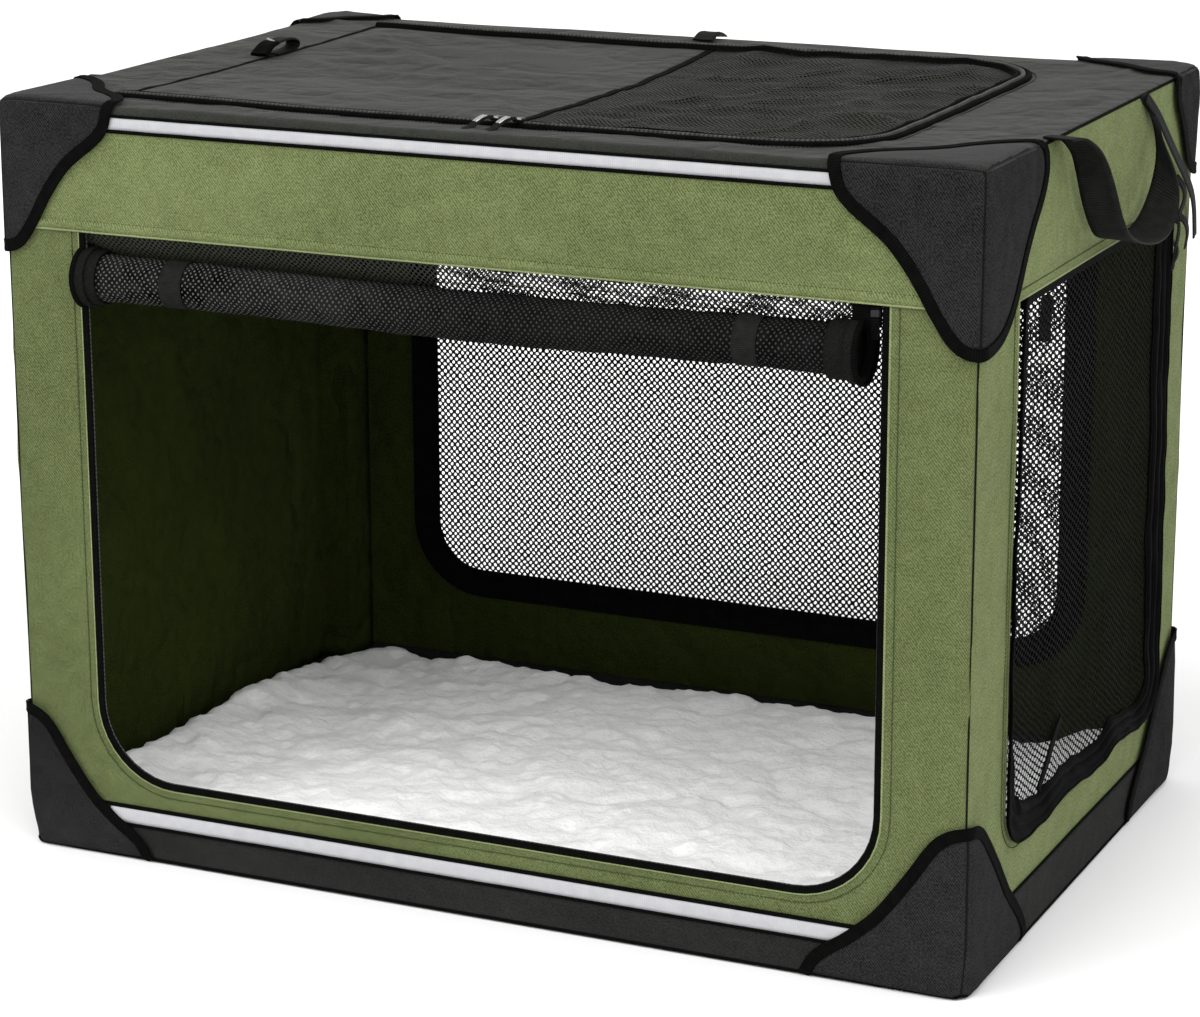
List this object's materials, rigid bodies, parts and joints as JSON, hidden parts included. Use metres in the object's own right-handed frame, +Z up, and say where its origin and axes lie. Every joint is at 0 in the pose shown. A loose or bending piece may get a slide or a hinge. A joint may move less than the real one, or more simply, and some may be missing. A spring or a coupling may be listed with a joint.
{
  "type": "folding dog crate",
  "caption": "Soft-sided folding dog crate: knee-jointed steel tube frame, zipped mesh doors, rolled-up front door, carry handles and a fleece mat.",
  "frame": {"origin": "on the floor, under the middle of the crate", "axes": "+X along the crate towards the end with the mesh door, -Y out of the front doorway, +Z up"},
  "size_m": [1.1118, 0.711, 0.8133],
  "materials": {
    "green_cloth": "olive green coated polyester weave",
    "charcoal_cloth": "charcoal coated polyester weave",
    "lining_cloth": "dark green lining cloth",
    "black_mesh": "black polyester mesh with hexagonal holes",
    "webbing": "black woven webbing",
    "reflective_tape": "silver-white reflective tape",
    "fleece": "white short-pile fleece",
    "steel_tube": "black powder-coated steel tube",
    "rivet_steel": "plated steel rivet",
    "moulded_plastic": "black moulded nylon",
    "zip_slider": "black enamelled zinc slider with a cord pull"
  },
  "bodies": {
    "base": {"base_front_rail": "steel_tube", "base_back_rail": "steel_tube", "base_left_rail": "steel_tube", "base_right_rail": "steel_tube", "base_front_left_block": "moulded_plastic", "base_front_right_block": "moulded_plastic", "base_back_left_block": "moulded_plastic", "base_back_right_block": "moulded_plastic", "base_tub": "charcoal_cloth", "mat": "fleece", "front_wall": "green_cloth", "back_wall": "green_cloth", "left_wall": "green_cloth", "right_wall": "green_cloth", "left_lining": "lining_cloth", "right_lining": "lining_cloth", "lower_strip": "reflective_tape", "back_window": "black_mesh", "front_roll": "black_mesh", "left_roll_strap": "webbing", "right_roll_strap": "webbing", "base_front_left_guard": "charcoal_cloth", "base_front_right_guard": "charcoal_cloth", "base_back_left_guard": "charcoal_cloth", "base_back_right_guard": "charcoal_cloth"},
    "left_lower": {"front_left_lower_post": "steel_tube", "back_left_lower_post": "steel_tube", "front_left_knee_rivet": "rivet_steel", "back_left_knee_rivet": "rivet_steel"},
    "left_upper": {"front_left_upper_post": "steel_tube", "back_left_upper_post": "steel_tube"},
    "right_lower": {"front_right_lower_post": "steel_tube", "back_right_lower_post": "steel_tube", "front_right_knee_rivet": "rivet_steel", "back_right_knee_rivet": "rivet_steel"},
    "right_upper": {"front_right_upper_post": "steel_tube", "back_right_upper_post": "steel_tube"},
    "top": {"top_front_rail": "steel_tube", "top_back_rail": "steel_tube", "top_left_rail": "steel_tube", "top_right_rail": "steel_tube", "top_front_left_block": "moulded_plastic", "top_front_right_block": "moulded_plastic", "top_back_left_block": "moulded_plastic", "top_back_right_block": "moulded_plastic", "top_panel": "charcoal_cloth", "front_header": "green_cloth", "upper_strip": "reflective_tape", "top_door_tie": "webbing", "top_front_left_guard": "charcoal_cloth", "top_front_right_guard": "charcoal_cloth", "top_back_left_guard": "charcoal_cloth", "top_back_right_guard": "charcoal_cloth"},
    "top_door_body": {"top_door": "charcoal_cloth"},
    "end_door_body": {"end_door": "black_mesh"},
    "left_handle_body": {"left_handle": "webbing"},
    "right_handle_body": {"right_handle": "webbing"},
    "top_left_slider_body": {"top_left_slider": "zip_slider"},
    "top_right_slider_body": {"top_right_slider": "zip_slider"},
    "end_slider_body": {"end_slider": "zip_slider"}
  },
  "joints": [
    {"name": "left_fold", "type": "hinge", "parent": "base", "child": "left_lower", "pos_m": [-0.509, 0, 0.0374], "axis": [0, 1, 0], "range_deg": [0, 84], "deforming": ["front_wall", "back_wall", "left_wall", "right_wall", "left_lining", "right_lining", "back_window", "front_roll", "left_roll_strap", "right_roll_strap", "end_door", "end_slider", "base_front_left_guard", "base_front_right_guard", "base_back_left_guard", "base_back_right_guard", "front_header", "upper_strip", "top_front_left_guard", "top_front_right_guard", "top_back_left_guard", "top_back_right_guard"]},
    {"name": "left_knee", "type": "hinge", "parent": "left_lower", "child": "left_upper", "pos_m": [-0.509, 0, 0.4048], "axis": [0, 1, 0], "range_deg": [-168, 0]},
    {"name": "left_top_pivot", "type": "hinge", "parent": "left_upper", "child": "top", "pos_m": [-0.509, 0, 0.7722], "axis": [0, 1, 0], "range_deg": [0, 84]},
    {"name": "right_fold", "type": "hinge", "parent": "base", "child": "right_lower", "pos_m": [0.509, 0, 0.0374], "axis": [0, 1, 0], "range_deg": [-84, 0]},
    {"name": "right_knee", "type": "hinge", "parent": "right_lower", "child": "right_upper", "pos_m": [0.509, 0, 0.4048], "axis": [0, 1, 0], "range_deg": [0, 168]},
    {"name": "top_door_swing", "type": "hinge", "parent": "top", "child": "top_door_body", "pos_m": [-0.432, 0, 0.81], "axis": [0, -1, 0], "range_deg": [0, 150]},
    {"name": "end_door_swing", "type": "hinge", "parent": "base", "child": "end_door_body", "pos_m": [0.5286, 0, 0.668], "axis": [0, 1, 0], "range_deg": [-110, 0]},
    {"name": "left_handle_swing", "type": "hinge", "parent": "top", "child": "left_handle_body", "pos_m": [-0.5289, 0, 0.8], "axis": [0, 1, 0], "range_deg": [0, 90]},
    {"name": "right_handle_swing", "type": "hinge", "parent": "top", "child": "right_handle_body", "pos_m": [0.5289, 0, 0.8], "axis": [0, -1, 0], "range_deg": [0, 90]},
    {"name": "top_left_slide", "type": "slide", "parent": "top", "child": "top_left_slider_body", "axis": [-1, 0, 0], "range_m": [0, 0.33]},
    {"name": "top_right_slide", "type": "slide", "parent": "top", "child": "top_right_slider_body", "axis": [1, 0, 0], "range_m": [0, 0.26]},
    {"name": "end_slide", "type": "slide", "parent": "base", "child": "end_slider_body", "axis": [0, 0, 1], "range_m": [-0.4, 0]}
  ],
  "couplings": [
    {"joint": "left_knee", "follows": "left_fold", "ratio": -2},
    {"joint": "left_top_pivot", "follows": "left_fold", "ratio": 1},
    {"joint": "right_fold", "follows": "left_fold", "ratio": -1},
    {"joint": "right_knee", "follows": "left_fold", "ratio": 2}
  ]
}
